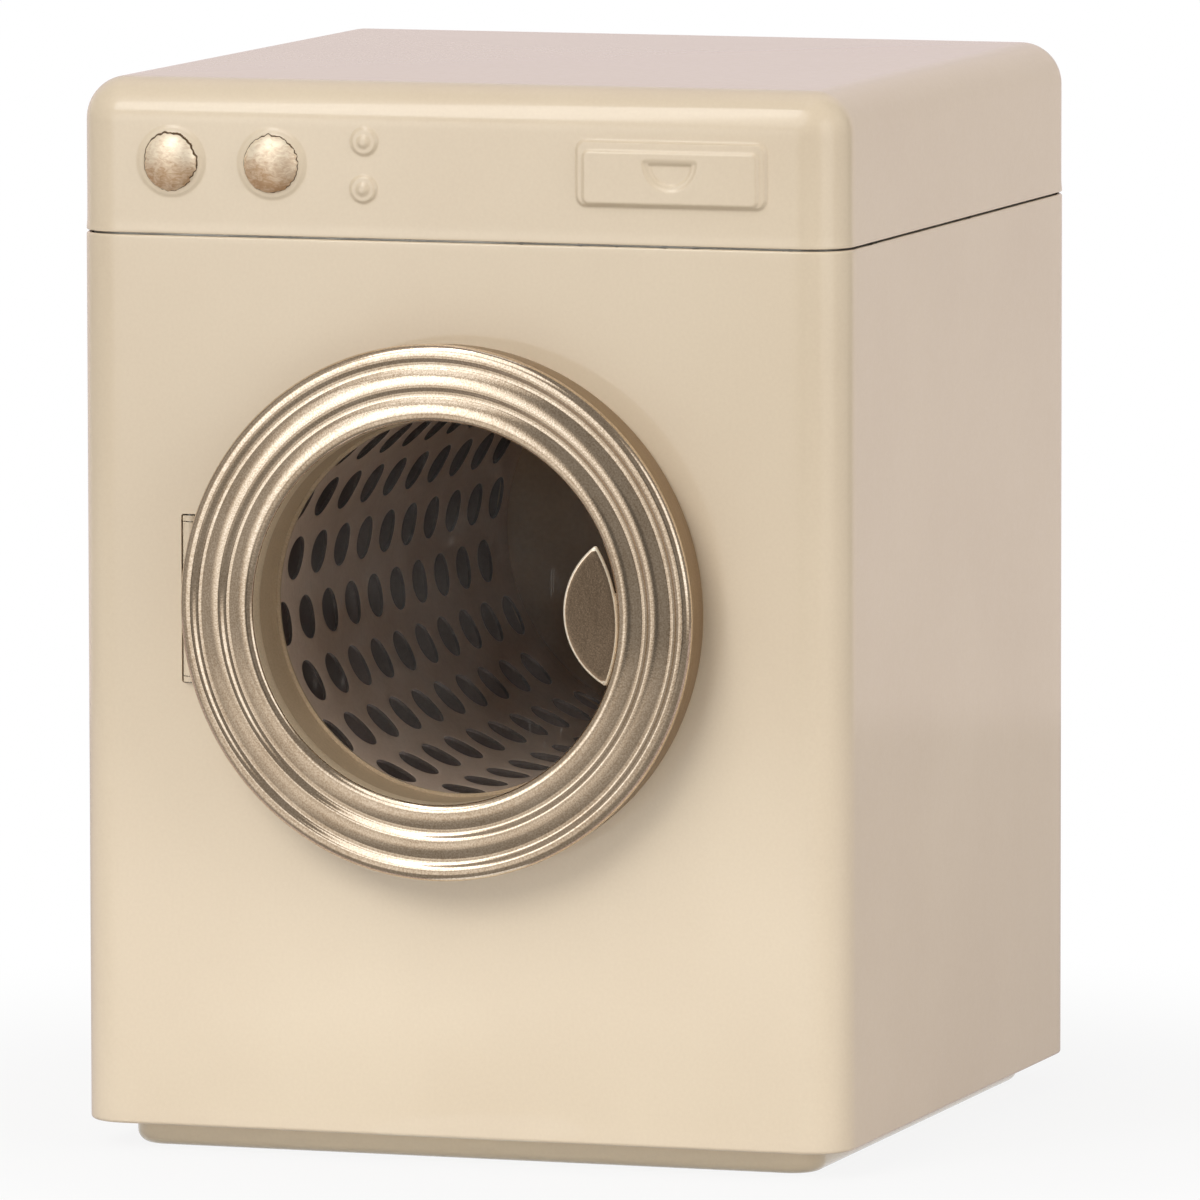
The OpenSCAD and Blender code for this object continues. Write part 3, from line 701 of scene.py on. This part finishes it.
def gold_knob(name):
    """Gold paint laid on with a brush, with a painted highlight: lighter towards the knobs' upper
    side.
    """
    p = Paint(name, Metallic=0.5)
    brush = p.noise(1.0, 5.0, 0.65, p.stretch(1100, 900, 2300, rot=(0, 0.5, 0)), 1.2)
    patch = p.noise(420, 3.0, 0.6)
    tone = p.total((p.remap(brush, 0.32, 0.68), 0.6), (p.remap(patch, 0.35, 0.65), 0.4))
    # Painted highlight: the tone lightens towards the top of the knobs, where light falls on the
    # domes.
    wear_and_painted_highlight = p.remap(p.xyz()[2], (KNOBS[0][1] - 2.5) * MM, (KNOBS[0][1] + 2.6) * MM, 0.4, -0.55)
    tone = p.math("ADD", tone, wear_and_painted_highlight, clamp=True)
    p.set("Base Color", p.mix(tone, srgb(255, 241, 217), srgb(196, 160, 124)))
    p.set("Roughness", p.remap(patch, 0.3, 0.7, 0.36, 0.50))
    wide = p.bump(patch, 0.00006, 0.5)
    p.set("Normal", p.bump(brush, 0.00002, 0.8, wide))
    return p.mat


def plain_metal(name, light, dark, rough, metallic=1.0):
    """Metal or lacquered sheet with an even grain."""
    p = Paint(name, Metallic=metallic)
    fine = p.noise(1800, 3.0, 0.6)
    broad = p.noise(120, 3.0)
    tone = p.total((p.remap(fine, 0.3, 0.7), 0.5), (p.remap(broad, 0.3, 0.7), 0.5))
    p.set("Base Color", p.mix(tone, light, dark))
    p.set("Roughness", p.remap(broad, 0.3, 0.7, rough - 0.06, rough + 0.08))
    p.set("Normal", p.bump(fine, 0.00001, 0.6))
    return p.mat


def clear_sheet(name):
    """Clear plastic, seen by its gloss, a faint haze and long thin scratches."""
    p = Paint(name, Specular_IOR_Level=0.6, IOR=1.49, Base_Color=(0.82, 0.80, 0.76, 1))
    marks = None
    for k, (turned, scale) in enumerate(((0.5, 90), (1.7, 120), (2.6, 70), (-0.4, 150))):
        across = p.stretch(scale * 26, scale, scale * 0.9, rot=(0, turned, 0))
        n = p.noise(1.0, 1.0, 0.5, across, 0.3)
        line = p.math("LESS_THAN", p.math("ABSOLUTE", p.math("SUBTRACT", n, 0.5)), 0.0019)
        keep = p.math("GREATER_THAN", p.noise(190 + 35 * k, 1.0), 0.54)
        line = p.math("MULTIPLY", line, keep)
        marks = line if marks is None else p.math("MAXIMUM", marks, line)
    haze = p.remap(p.noise(75, 3.0), 0.35, 0.7, 0.006, 0.018)
    p.set("Alpha", p.math("ADD", haze, p.math("MULTIPLY", marks, 0.075), clamp=True))
    p.set("Roughness", p.remap(p.noise(300, 2.0), 0.3, 0.7, 0.06, 0.16))
    return p.mat


CREAM = srgb(225, 209, 184), srgb(219, 202, 177)
BELOW, ABOVE = -20, 140                # heights at which there is nothing to chip
cream = enamel("cream_enamel", *CREAM)
# A slightly darker copy of the cream enamel: painted shade on the recessed foot.
cream_foot_painted_shade = enamel("cream_enamel_foot", srgb(222, 205, 176), srgb(216, 198, 169))
cream_lid = enamel("cream_enamel_lid", *CREAM, (LID_LOW, ABOVE))
cream_wall = enamel("cream_enamel_wall", *CREAM, (BELOW, SEAM))
ring_gold = gold_ring("champagne_gold", srgb(242, 227, 207), srgb(184, 163, 138), 0.06)
# A lighter, duller copy of the ring's gold: painted light on the lip's inner wall.
lip_gold_painted_light = gold_ring("champagne_gold_lip", srgb(240, 220, 188), srgb(206, 184, 152), 0.30, 0.25)
tab_gold = gold_ring("champagne_gold_tab", srgb(229, 205, 179), srgb(177, 154, 130), 0.13, 1.0, 0.9)
# A pale, dull copy of the gold: a painted highlight along the finger tab's bevel.
tab_bevel_painted_highlight = plain_metal("edge_painted_highlight", srgb(250, 240, 222), srgb(232, 218, 196), 0.30, 0.35)
# A darker, duller copy of the gold: painted shade in the door's tube and on the window's clip.
tube_gold_painted_shade = gold_ring("champagne_gold_tube", srgb(196, 174, 144), srgb(168, 146, 116), 0.42, 0.15)
# A dark brown copy of the gold: painted shade on the pan's outer wall beside the ring.
pan_rim_painted_shade = gold_ring("champagne_gold_rim", srgb(150, 122, 88), srgb(124, 99, 67), 0.34, 0.3)
paint_edge = plain_metal("dark_paint_edge", srgb(112, 88, 62), srgb(70, 52, 34), 0.5, 0.4)
knob_gold = gold_knob("brushed_gold_paint")
drum_metal = plain_metal("drum_metal", srgb(216, 196, 178), srgb(197, 175, 156), 0.45, 0.12)
drum_shade = plain_metal("drum_shade", srgb(178, 152, 118), srgb(160, 134, 102), 0.45, 0.12)
# Dark brown: a painted shadow line on the tube under the lip, and painted shade in the
# perforations.
dark_painted_shade = plain_metal("dark_painted_shade", srgb(96, 82, 72), srgb(76, 64, 56), 0.5, 0.2)
# A dark brownish copy for the casing's inner faces: painted shade inside the casing.
casing_inside_painted_shade = plain_metal("casing_inside_painted_shade", srgb(134, 114, 102), srgb(112, 94, 84), 0.5, 0.2)
tinplate = plain_metal("tinplate", srgb(190, 187, 180), srgb(160, 156, 148), 0.38)
steel = plain_metal("plain_steel", srgb(196, 194, 190), srgb(150, 148, 144), 0.30)
brass = plain_metal("turned_brass", srgb(206, 176, 112), srgb(170, 138, 80), 0.28)
clear = clear_sheet("clear_sheet")


def dress(ob, mat):
    """Gives a piece one material."""
    if ob.material_slots:
        for slot in ob.material_slots:
            slot.material = mat
    else:
        ob.data.materials.append(mat)


for ob, mat in ((casing, cream_wall), (base, cream_foot_painted_shade), (lid, cream_lid), (knob_a, knob_gold),
                (knob_b, knob_gold), (ring, ring_gold), (pan, cream), (window, clear),
                (tab, tab_gold), (drum, drum_metal)):
    dress(ob, mat)


def repaint(ob, mat, chosen):
    """Gives mat to the faces that chosen(radii, centre, normal) picks, in millimetres."""
    ob.data.materials.append(mat)
    index = len(ob.data.materials) - 1
    for f in ob.data.polygons:
        radii = [math.hypot(ob.data.vertices[v].co.x / MM - AX, ob.data.vertices[v].co.z / MM - AZ)
                 for v in f.vertices]
        if chosen(radii, f.center / MM, f.normal):
            f.material_index = index


def hole_wall(radii, c, n):
    """The drum's faces that look along the sheet, in the perforations."""
    along = abs(n.x * (c.x - AX) + n.z * (c.z - AZ)) < 0.5 * min(radii)
    return along and FRONT + DRUM_FRONT + 0.1 < c.y < FRONT + DRUM_END - 0.2


# Painted shade in the tube and on the pan's outer wall, a painted shadow line at the tube's edge
# under the lip, painted light on the ring's lip, a painted highlight on the tab's bevel, and
# painted shade on the casing's inside and in the holes' walls
repaint(pan, tube_gold_painted_shade, lambda radii, c, n: max(radii) < 22.05)
repaint(pan, pan_rim_painted_shade, lambda radii, c, n: min(radii) > 29.2)
# Painted shadow: a thin dark line on the tube just behind the lip.
repaint(pan, dark_painted_shade, lambda radii, c, n: max(radii) < 21.55 and c.y < FRONT - 3.75)
repaint(ring, lip_gold_painted_light, lambda radii, c, n: max(radii) < 21.42)
repaint(tab, tab_bevel_painted_highlight, lambda radii, c, n: -0.985 < n.y < -0.15 and c.y < FRONT - 3.9)
repaint(casing, casing_inside_painted_shade,
        lambda radii, c, n: n.x * c.x + n.y * c.y < 0 and max(abs(c.x), abs(c.y)) < 44.7)
# Painted shade: the perforations' walls are darkened.
repaint(drum, dark_painted_shade, hole_wall)
for ob, (cx, cz), bound in ((knob_a, KNOBS[0], bound_a), (knob_b, KNOBS[1], bound_b)):
    ob.data.materials.append(paint_edge)
    for f in ob.data.polygons:
        x, z = f.center.x / MM - cx, f.center.z / MM - cz
        k = math.atan2(z, x) % (2 * math.pi) / (2 * math.pi) * len(bound)
        if math.hypot(x, z) > bound[int(k) % len(bound)]:
            f.material_index = 1
for name, mat in (("lid_collar", tinplate), ("drum_guide", tinplate), ("bearing_plate", tinplate),
                  ("rear_bush", brass), ("hinge_bracket", cream), ("hinge_pin", steel),
                  ("door_leaf", cream), ("rivet_upper", steel), ("rivet_lower", steel),
                  ("window_clip", tube_gold_painted_shade), ("drum_hem", drum_metal), ("drum_back", drum_shade),
                  ("drum_hub", tinplate), ("drum_shaft", drum_shade), ("shaft_nut", steel)):
    dress(nodes[name], mat)


# Floor, light and camera

me = bpy.data.meshes.new("floor")
me.from_pydata([(-6, -6, 0), (6, -6, 0), (6, 10, 0), (-6, 10, 0)], [], [(0, 1, 2, 3)])
floor = bpy.data.objects.new("floor", me)
bpy.context.scene.collection.objects.link(floor)
mat = bpy.data.materials.new("pale_floor")
me.materials.append(mat)


def background_rays(nt):
    """1 for the rays that see the background: from the camera, off gloss and through glass."""
    rays = add_node(nt, "LightPath")
    seen = rays["Is Camera Ray"]
    for name in ("Is Glossy Ray", "Is Transmission Ray"):
        seen = add_node(nt, "Math", (seen, rays[name]), operation="MAXIMUM")[0]
    return seen


# The floor takes shadows near the toy and turns to the background's white away from it
nt = empty_nodes(mat)
diffuse = add_node(nt, "BsdfDiffuse", ((0.60, 0.59, 0.575, 1),))
white = add_node(nt, "Emission", ((1, 1, 1, 1), 1.0))
place = add_node(nt, "NewGeometry")["Position"]
away = add_node(nt, "VectorMath", (place,), operation="LENGTH")["Value"]
far = add_node(nt, "MapRange", (away, 0.05, 0.15, 0.88, 1.0), interpolation_type="SMOOTHSTEP")
shown = add_node(nt, "Math", (background_rays(nt), far[0]), operation="MULTIPLY")
surface = add_node(nt, "MixShader", (shown[0], diffuse[0], white[0]))
add_node(nt, "OutputMaterial", (surface[0],))

# The world lights softly and shows white
scene = bpy.context.scene
scene.view_settings.view_transform = "Standard"
scene.world = bpy.data.worlds.new("studio")
nt = empty_nodes(scene.world)
lit = add_node(nt, "Background", ((1.0, 0.985, 0.975, 1), 0.28))
shown = add_node(nt, "Background", ((1, 1, 1, 1), 1.0))
surface = add_node(nt, "MixShader", (background_rays(nt), lit[0], shown[0]))
add_node(nt, "OutputWorld", (surface[0],))


LAMP_AIM = Vector((0, 0, 0.07))        # the point that the lamps face
WARM = (1.0, 0.98, 0.95)


def lamp(name, direction, distance, width, height, power, colour):
    """A soft panel that lights the toy and is mirrored in nothing."""
    data = bpy.data.lights.new(name, "AREA")
    data.shape, data.size, data.size_y = "RECTANGLE", width, height
    data.energy, data.color = power, colour
    ob = bpy.data.objects.new(name, data)
    scene.collection.objects.link(ob)
    v = Vector(direction).normalized()
    ob.location = v * distance + LAMP_AIM
    ob.rotation_euler = v.to_track_quat("Z", "Y").to_euler()
    ob.visible_glossy = ob.visible_camera = False
    return ob


lamp("key_softbox", (-0.312, -0.624, 0.717), 1.1, 0.30, 0.76, 2.4, (1.0, 0.985, 0.96))
lamp("left_panel", (-0.42, -0.58, 0.70), 1.1, 1.0, 1.0, 1.6, WARM)
lamp("front_panel", (-0.15, -0.85, 0.50), 1.3, 0.5, 0.5, 5.2, WARM)
lamp("right_fill", (0.95, -0.15, 0.27), 1.1, 1.0, 1.0, 6.4, (1.0, 0.972, 0.95))
lamp("back_fill", (-0.62, 0.77, 0.12), 1.1, 1.0, 1.0, 3.8, WARM)
low = lamp("low_fill", (0, -1, 0), 0.155, 0.30, 0.04, 0.0235, (0.95, 1.0, 1.08))
low.data.spread = math.radians(70)
low.location.z = 0.012


EYE = Vector((0.0, -0.052, 0.063))     # the door's middle, from where the studio is laid out
REACH = 0.5


def between(v, start, full, last, end):
    """1 from full to last, falling softly to 0 at start and at end."""
    return smooth((v - start) / (full - start)) * smooth((end - v) / (end - last))


def studio(az, el):
    """Strength and colour of what metal and gloss mirror, seen from the door's middle:
    az runs from the front towards the right and el upwards, both in degrees."""
    wall = 0.27 + 0.15 * smooth((-az - 35) / 12)
    wall -= 0.13 * between(az, -17, -11, -1, 8) * between(el, -12, -8, 2, 8)
    ground = 0.30 + 0.62 * math.exp(-((az + 25) / 30) ** 2) * smooth((el + 50) / 20)
    glow = wall + (ground - wall) * smooth((-el - 8) / 8)
    glow += 1.2 * between(az, 38, 50, 70, 84) * between(el, -14, 6, 32, 48)
    wide = min(max(el - 20, 0), 25)
    box = smooth((az + 46 + 0.3 * wide) / 26) * smooth((wide - 4 - az) / 18)
    box *= between(el, -16, 8, 64, 71)
    glow += (2.3 - 0.8 * smooth((el - 20) / 6) - 1.2 * between(el, 19.4, 20.8, 21.6, 23.0)) * box
    glow += 2.6 * between(az, -36, -34, -19, -17) * between(el, 29, 31, 68, 70)
    glow -= 0.6 * between(el, 12, 22, 26, 30) * box
    white = smooth((glow - 0.6) / 0.9)
    colour = np.array([1.0, 0.92, 0.83]) * (1 - white) + white
    glow += (0.32 - glow) * smooth((abs(az) - 75) / 10)
    glow += (0.03 - glow) * between(az, 116, 121, 137, 142) * smooth((el + 7) / 3)
    behind = smooth((az - 137) / 5) if az > 0 else smooth((-az - 100) / 20)
    behind = max(behind, smooth((abs(az) - 70) / 20) * smooth((-el - 7.6) / 0.8))
    glow += (0.76 - 0.2 * smooth((-el - 7.7) / 0.6) - glow) * behind
    colour += (np.array([1.0, 0.86, 0.85]) - colour) * behind
    return glow * colour


def surround(name, rows):
    """A shell of points that only metal and gloss see, each lit as studio says."""
    verts = np.concatenate(rows)
    me = bpy.data.meshes.new(name)
    me.from_pydata(verts.tolist(), [], grid(len(rows[0]), len(rows)))
    glow = me.attributes.new("glow", "FLOAT_COLOR", "POINT")
    for k, p in enumerate(verts):
        d = Vector(p) - EYE
        az = math.degrees(math.atan2(d.x, -d.y))
        el = math.degrees(math.atan2(d.z, math.hypot(d.x, d.y)))
        glow.data[k].color = (*studio(az, el), 1.0)
    ob = bpy.data.objects.new(name, me)
    scene.collection.objects.link(ob)
    ob.visible_camera = ob.visible_diffuse = ob.visible_transmission = False
    ob.visible_shadow = ob.visible_volume_scatter = False
    mat = bpy.data.materials.new(name)
    me.materials.append(mat)
    nt = empty_nodes(mat)
    tint = add_node(nt, "Attribute", attribute_name="glow")["Color"]
    add_node(nt, "OutputMaterial", (add_node(nt, "Emission", (tint,))[0],))


turn = np.radians(np.arange(-180, 180, 1.5))
surround("studio_shell", [
    [(EYE.x + REACH * math.cos(e) * math.sin(a), EYE.y - REACH * math.cos(e) * math.cos(a),
      EYE.z + REACH * math.sin(e)) for a in turn]
    for e in np.radians(np.append(-6.85, np.arange(-6, 84, 0.75)))])
surround("studio_floor", [
    [(EYE.x + d * math.sin(a), EYE.y - d * math.cos(a), 0.003) for a in turn]
    for d in 0.012 * (REACH / 0.012) ** np.linspace(0, 1, 40)])

# The camera's direction and roll, and its place along its own axes from the foot's middle
a, e, roll = (math.radians(v) for v in (18.277, 6.209, -0.093))
distance, aside, above = 1613.4317, 1.87877, 55.5463
back = Vector((math.sin(a) * math.cos(e), -math.cos(a) * math.cos(e), math.sin(e)))
level = Vector((math.cos(a), math.sin(a), 0))
plumb = back.cross(level)
right = level * math.cos(roll) + plumb * math.sin(roll)
up = plumb * math.cos(roll) - level * math.sin(roll)
place = (back * distance + right * aside + up * above + Vector((0, 0, FOOT_H))) * MM
data = bpy.data.cameras.new("camera")
data.lens, data.sensor_width, data.clip_start, data.clip_end = 421.95, 36.0, 0.05, 30.0
camera = bpy.data.objects.new("camera", data)
scene.collection.objects.link(camera)
camera.matrix_world = Matrix.Translation(place) @ Matrix((right, up, back)).transposed().to_4x4()
scene.camera = camera
